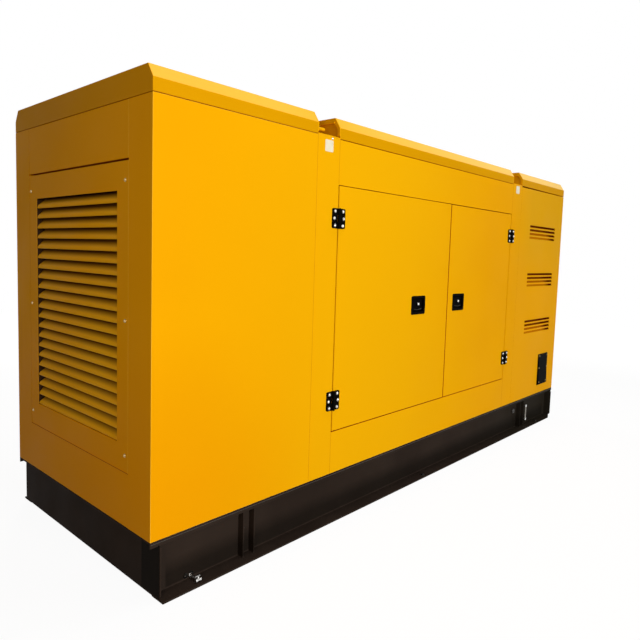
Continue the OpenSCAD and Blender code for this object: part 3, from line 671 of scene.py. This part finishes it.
# ---- louvre blades: a rolled lip at the foot and a slope that runs up inside ----
BLADES, BLADE_T = 21, 0.0020
BLADE_OUT, BLADE_SIDE = 0.0015, 0.0005      # in front of the CAD blades, and clear of the opening's sides
CUT_FROM, CUT_TO, CUT_SLOPE = 0.008, 0.05, 0.9      # heights on a blade, and how steeply its far end is cut
SHADE_STRIP_X, SHADE_STRIP_T, SHADE_STRIP_W = 0.0385, 0.0015, 0.060      # the shade strip's depth, thickness and width
BLADE_FACE = [(0.0085, 0.0010), (0.0050, 0.0000), (0.0020, 0.0010), (0.0006, 0.0035), (0.0000, 0.0075),
              (0.0004, 0.0160), (0.0022, 0.0205), (0.0060, 0.0255), (0.0120, 0.0325), (0.0200, 0.0415),
              (0.0280, 0.0500), (0.0340, 0.0560), (0.0355, 0.0640), (0.0355, 0.0740)]      # depth and height


def blade_section():
    """The outline of a blade as (depth, height): its outer face, and back along its inner one."""
    inner = []
    for i, (x, z) in enumerate(BLADE_FACE):
        a, b = BLADE_FACE[max(i - 1, 0)], BLADE_FACE[min(i + 1, len(BLADE_FACE) - 1)]
        d = Vector((b[0] - a[0], b[1] - a[1])).normalized()
        inner.append((x + d.y * BLADE_T, z - d.x * BLADE_T))
    return BLADE_FACE + inner[::-1]


def louvres(node, mirror):
    """All the blades of one end, with a dark strip behind their far ends that paints the shade there."""
    lo, hi = BOX[node]
    x_out = (-hi[0] if mirror < 0 else lo[0]) - BLADE_OUT
    pitch = (hi[2] - lo[2] + 0.006) / BLADES
    foot = lo[2] + 0.001
    bm = bmesh.new()
    for k in range(BLADES):
        prism(bm, *[[((x_out + x) * mirror, y, foot + k * pitch + z) for x, z in blade_section()]
                    for y in (lo[1] + BLADE_SIDE, hi[1] - BLADE_SIDE)], mirror < 0)
    for v in bm.verts:
        rise = (v.co.z - foot) % pitch
        if v.co.y > hi[1] - SAME and CUT_FROM < rise < CUT_TO and abs(abs(v.co.x) - abs(x_out)) < 0.03:
            v.co.y -= (rise - CUT_FROM) * CUT_SLOPE
    ob = finish_piece(node + "_rolled", bm, BLADE, BASE, 50)
    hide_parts(node)
    bm = bmesh.new()
    block(bm, (mirror * (x_out + SHADE_STRIP_X), hi[1] - SHADE_STRIP_W, lo[2] + 0.002),
          (mirror * (x_out + SHADE_STRIP_X + SHADE_STRIP_T), hi[1] - BLADE_SIDE, hi[2] - 0.002))
    finish_piece(node + "_shade_strip", bm, FOAM)


louvres("left_louvre_blades", 1)
louvres("right_louvre_blades", -1)
SCREW_IN, SCREW_Z = 0.028, (0.345, 0.981, 1.621)        # in from the panel's edges, and up from the wall's foot
bm = bmesh.new()
for s in (-1, 1):
    for y in (-PANEL_Y + SCREW_IN, PANEL_Y - SCREW_IN):
        for z in SCREW_Z:
            dome_screw(bm, (s * X1, y, Z_WALL + z), (s, 0, 0), 0.0072, 0.0062)
finish_piece("louvre_panel_screws", bm, ZINC)

# ---- hinges and their bolts ----
HINGE_W, HINGE_H = 0.110, 0.115
HINGE_X = (D1 + 0.0025, D2 - 0.0025)
lo, hi = BOX["left_door_hinge_leaves"]
HINGE_Z = (lo[2] + HINGE_H / 2, hi[2] - HINGE_H / 2)


def hinge_corner(e):
    """An edge at an outer corner of a hinge plate."""
    at = e.verts[0].co
    return (along_y(e) and len(e.link_faces) == 2
            and min(abs(abs(at.x - x) - HINGE_W / 2) for x in HINGE_X) < 1e-4
            and min(abs(abs(at.z - z) - HINGE_H / 2) for z in HINGE_Z) < 1e-4)


for node in ("front_hinge_plates", "left_door_hinge_leaves", "right_door_hinge_leaves", "rear_hinges"):
    softened(node, 0.0015, corners=(hinge_corner, 0.010))


def hinge_bolts(bm, x, leaf, side):
    """Three bolts in the leaf to the left (-1) or right (1) of each hinge at x, on the front (-1) or rear (1)."""
    for z in HINGE_Z:
        for out, dz in ((0.0345, -0.041), (0.041, 0.0), (0.0345, 0.041)):
            dome_screw(bm, (x + leaf * out, side * (SIDE_Y + 0.008), z + dz), (0, side, 0), 0.0074, 0.0064)


bm = bmesh.new()
hinge_bolts(bm, HINGE_X[0], -1, -1)
hinge_bolts(bm, HINGE_X[1], 1, -1)
for x in HINGE_X:
    hinge_bolts(bm, x, -1, 1)
    hinge_bolts(bm, x, 1, 1)
finish_piece("hinge_bolts", bm, STEEL)
for body, x, leaf in (("left_door", HINGE_X[0], 1), ("right_door", HINGE_X[1], -1)):
    bm = bmesh.new()
    hinge_bolts(bm, x, leaf, -1)
    finish_piece(body + "_hinge_bolts", bm, STEEL, body)

# ---- latches, with key barrels and the lips of their paddles ----
for node in ("left_door_latch", "right_door_latch", "rear_latches"):
    softened(node, 0.0012)
for node in ("left_latch_paddle", "right_latch_paddle"):
    softened(node, 0.0015)
KEY_SHIFT = 0.005       # from the paddle's middle, up and to the right
KEY_BARREL = [(0.0085, 0), (0.0085, 0.004), (0.0078, 0.0052), (0.0045, 0.0052), (0.0045, 0.0035), (0, 0.0035)]
LIP_R, LIP_HALF = 0.0022, 0.045


def key_barrel(bm, x, y, z, s):
    """A key barrel and its key way on the paddle whose middle is (x, z), facing front (s = -1) or rear (1)."""
    x, z = x + KEY_SHIFT, z + KEY_SHIFT
    lathe(bm, (x, y, z), (0, s, 0), KEY_BARREL, 24)
    block(bm, (x - 0.0012, y + s * 0.0036, z - 0.004), (x + 0.0012, y + s * 0.0048, z + 0.004))


def paddle_lip_highlight(bm, x, y, foot, s):
    """The edge of the finger recess along a paddle's foot, its grey a painted highlight."""
    path = [(x + t * LIP_HALF, y + s * 0.0004, foot + 0.004 + t * t * 0.005) for t in (-1, -0.6, -0.2, 0.2, 0.6, 1)]
    tube(bm, path, LIP_R, 8)


LATCH_X = [(BOX[n][0][0] + BOX[n][1][0]) / 2 for n in ("left_door_latch", "right_door_latch")]
for x, n in zip(LATCH_X, ("left", "right")):
    lo, hi = BOX[n + "_latch_paddle"]
    bm = bmesh.new()
    key_barrel(bm, x, lo[1], (lo[2] + hi[2]) / 2, -1)
    finish_piece(n + "_key_barrel", bm, KEY, n + "_paddle")
    bm = bmesh.new()
    paddle_lip_highlight(bm, x, lo[1], lo[2], -1)
    finish_piece(n + "_paddle_lip_highlight", bm, LIP, n + "_paddle")
bm = bmesh.new()
for x in LATCH_X:
    key_barrel(bm, x, -lo[1], (lo[2] + hi[2]) / 2, 1)
finish_piece("rear_key_barrels", bm, KEY)
bm = bmesh.new()
for x in LATCH_X:
    paddle_lip_highlight(bm, x, -lo[1], lo[2], 1)
finish_piece("rear_paddle_lips", bm, LIP)

# ---- outlet box ----
lo, hi = BOX["outlet_box"]
LID_Y = -SIDE_Y - 0.011


def box_corner(e):
    """The outlet box's lower corner on the far side."""
    at = e.verts[0].co
    return along_y(e) and at.x > hi[0] - 0.001 and at.z < lo[2] + 0.001


softened("outlet_box", 0.0022, corners=(box_corner, 0.024))
bm = bmesh.new()
for x in (lo[0] + 0.020, hi[0] - 0.020):
    for z in (hi[2] - 0.020, lo[2] + 0.172):
        dome_screw(bm, (x, LID_Y, z), (0, -1, 0), *SMALL_SCREW)
for x in (lo[0] + 0.022, hi[0] - 0.034):
    dome_screw(bm, (x, LID_Y - 0.004, lo[2] + 0.030), (0, -1, -0.04), *SMALL_SCREW)
finish_piece("outlet_box_screws", bm, ZINC)

# ---- blank labels, and the screws over the first one and its copy at the rear ----
softened("label_plates", 0.0003, 1, corners=(along_y, 0.006))
lo, hi = BOX["label_plates"]
bm = bmesh.new()
for s in (-1, 1):
    dome_screw(bm, (lo[0] + 0.060, s * SIDE_Y, Z_ROOF - 0.0080), (0, s, 0), *SMALL_SCREW)
finish_piece("label_screws", bm, STEEL)

# ---- skid ----
for node in ("front_side_beam", "rear_side_beam", "left_end_beam", "right_end_beam"):
    softened(node, 0.0025, 3)
softened("beam_ribs", 0.0015)
# painted highlight: a thin grey line along each rail just under the canopy
bm = bmesh.new()
for s in (-1, 1):
    block(bm, (X0 + 0.002, s * (SIDE_Y - 0.001), Z_WALL - 0.0125), (X1 - 0.002, s * (SIDE_Y + 0.0005), Z_WALL - 0.0110))
finish_piece("rail_highlight_lines", bm, RAIL_HIGHLIGHT)

# A painted shade: a dark band on each end plate, where the front side channel ends
END_PLATE_X, CHANNEL_Y = X1 - 0.042, -SIDE_Y - 0.015
bm = bmesh.new()
for s in (-1, 1):
    block(bm, (s * (END_PLATE_X + 0.0008), CHANNEL_Y + 0.006, 0.016),
          (s * (END_PLATE_X - 0.001), CHANNEL_Y + 0.158, Z_WALL - 0.024))
finish_piece("end_plate_shade_bands", bm, END_PLATE_SHADE)
softened("base_deck", 0.001, 1)

# ---- sight tube and its fittings ----
lo, hi = BOX["fuel_gauge"]
x, y = (lo[0] + hi[0]) / 2, (lo[1] + hi[1]) / 2
bm = bmesh.new()
tube(bm, [(x, y, lo[2] + 0.014), (x, y, hi[2] - 0.014)], 0.0072, 16)
ob = finish_piece("gauge_glass", bm, TUBE)
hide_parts("fuel_gauge")
bm = bmesh.new()
for z in (lo[2] + 0.012, hi[2] - 0.012):
    lathe(bm, (x, y, z - 0.010), (0, 0, 1), [(0.0098, 0), (0.0098, 0.020)], 16)
    tube(bm, [(x, y, z), (x, hi[1], z)], 0.0075)
finish_piece("gauge_fittings", bm, STEEL)

# ---- port plugs and bolts on the skid ----
WEB_Y = BOX["front_side_beam"][1][1] - 0.008
PORTS = ((3.877, 0.177), (4.073, 0.119))                # X from the left end, and Z
LOW_BOLTS_X, HIGH_BOLT, FOOT_BOLTS_X = (-2.128, -2.098), (-1.775, 0.150), (-0.116, 1.939)
PLUG = [(0.021, 0), (0.021, 0.010), (0.019, 0.012), (0.013, 0.012)]
bm = bmesh.new()
for out, z in PORTS:
    lathe(bm, (X0 + out, WEB_Y, z), (0, -1, 0), PLUG, 24)
    lathe(bm, (X0 + out, WEB_Y - PLUG[-1][1], z), (0, -1, 0), [(0.010, 0), (0.010, 0.004)], 4, math.pi / 4)
for x in LOW_BOLTS_X:
    hex_bolt(bm, (x, WEB_Y, 0.029), (0, -1, 0), 0.009, 0.007)
hex_bolt(bm, (HIGH_BOLT[0], WEB_Y, HIGH_BOLT[1]), (0, -1, 0), 0.008, 0.007)
for x in FOOT_BOLTS_X:
    hex_bolt(bm, (x, -SIDE_Y - 0.012, 0.010), (0, 0, 1), 0.011, 0.008)
finish_piece("skid_plugs", bm, DULL)

# ---- drain valve: its pipe and nut at the web, its body along X, its stem and lever ----
x, y, z = X0 + 0.250, -SIDE_Y - 0.016, 0.022
VALVE_BODY = [(0.0085, 0), (0.0085, 0.008), (0.0066, 0.009), (0.0066, 0.021), (0.0085, 0.022), (0.0085, 0.030)]
bm = bmesh.new()
lathe(bm, (x, WEB_Y, z), (0, -1, 0), [(0.0050, 0), (0.0050, WEB_Y - y)], 16)
lathe(bm, (x, WEB_Y, z), (0, -1, 0), [(0.012, 0), (0.012, 0.006), (0.010, 0.007)], 6)
lathe(bm, (x - VALVE_BODY[-1][1] / 2, y, z), (1, 0, 0), VALVE_BODY, 20)
lathe(bm, (x, y, z), (0, 0, 1), [(0.0060, 0), (0.0060, 0.016), (0.0040, 0.017), (0.0040, 0.024)], 16)
block(bm, (x - 0.020, y - 0.0040, z + 0.0215), (x + 0.010, y + 0.0040, z + 0.0250), 0.0010)
ob = finish_piece("drain_valve", bm, STEEL)
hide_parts("tank_fittings")

# ---- floor, world and lamps ----
WHITE_FROM, WHITE_TO = 5.0, 12.0        # metres from the middle, over which the floor turns white
FLOOR_GREY, FLOOR_HALF = 0.22, 60
SKY_COLOR, SKY_STRENGTH = (1.0, 0.88, 0.76, 1), 0.045


def seen_white(t, shader, near, far=None):
    """Mixes a white into a shader for the rays that the camera, gloss and glass send out.

    near and far are the (share, strength) of the white at the distances WHITE_FROM and WHITE_TO.
    """
    def node(kind, **settings):
        n = t.nodes.new("ShaderNode" + kind)
        for key, value in settings.items():
            setattr(n, key, value)
        return n

    def feed(socket, value):
        if hasattr(value, "node"):
            t.links.new(value, socket)
        else:
            socket.default_value = value

    def calc(op, a, b):
        n = node("Math", operation=op)
        feed(n.inputs[0], a)
        feed(n.inputs[1], b)
        return n.outputs[0]

    rays = node("LightPath").outputs
    seen = rays["Is Camera Ray"]
    for ray in ("Is Glossy Ray", "Is Transmission Ray"):
        seen = calc("MAXIMUM", seen, rays[ray])
    share, strength = near
    if far:
        length = node("VectorMath", operation="LENGTH")
        feed(length.inputs[0], node("TexCoord").outputs["Object"])
        values = []
        for lo, hi in zip(near, far):
            n = node("MapRange")
            for i, v in enumerate((length.outputs["Value"], WHITE_FROM, WHITE_TO, lo, hi)):
                feed(n.inputs[i], v)
            values.append(n.outputs[0])
        share, strength = values
    white = node("Emission")
    feed(white.inputs["Color"], (1, 1, 1, 1))
    feed(white.inputs["Strength"], strength)
    mixer = node("MixShader")
    for i, v in enumerate((calc("MULTIPLY", seen, share), shader, white.outputs[0])):
        feed(mixer.inputs[i], v)
    return mixer.outputs[0]


def lamp(name, at, aim, size, power, color=(1, 1, 1)):
    data = bpy.data.lights.new(name, "AREA")
    data.shape = "RECTANGLE"
    data.size, data.size_y = size
    data.energy = power
    data.color = color
    ob = bpy.data.objects.new(name, data)
    bpy.context.scene.collection.objects.link(ob)
    ob.location = at
    ob.rotation_euler = (Vector(aim) - Vector(at)).to_track_quat("-Z", "Y").to_euler()


def add_stage():
    bm = bmesh.new()
    bm.faces.new([bm.verts.new((x * FLOOR_HALF, y * FLOOR_HALF, 0)) for x, y in ((-1, -1), (1, -1), (1, 1), (-1, 1))])
    me = bpy.data.meshes.new("floor")
    bm.to_mesh(me)
    bm.free()
    floor = bpy.data.objects.new("floor", me)
    bpy.context.scene.collection.objects.link(floor)
    m = Nodes("floor_white")
    m.put(color=(FLOOR_GREY, FLOOR_GREY, FLOOR_GREY, 1), rough=0.9, spec=0.1)
    white = seen_white(m.tree, m.bsdf.outputs[0], (0.66, 1.42), (1.0, 1.0))
    m.tree.links.new(white, m.tree.nodes["Material Output"].inputs["Surface"])
    me.materials.append(m.mat)

    world = bpy.data.worlds.new("world")
    bpy.context.scene.world = world
    world.use_nodes = True
    t = world.node_tree
    sky = t.nodes["Background"]
    sky.inputs["Color"].default_value = SKY_COLOR
    sky.inputs["Strength"].default_value = SKY_STRENGTH
    t.links.new(seen_white(t, sky.outputs[0], (1.0, 1.0)), t.nodes["World Output"].inputs["Surface"])
    lamp("key", (-2.4, -11.8, 3.4), (-0.1, -0.75, 1.2), (3.5, 3.5), 1060)
    lamp("corner", (-5.6, -3.4, 2.2), (-2.3, -0.1, 0.9), (1.6, 1.6), 66, (1.0, 0.80, 0.62))
    lamp("top", (0.4, -1.6, 8.5), (0, -0.2, 2.0), (4, 3), 225)
    lamp("rear", (3.4, 9.5, 3.0), (0.3, 0.7, 1.1), (3.5, 3.0), 430, (1.0, 0.97, 0.93))


add_stage()
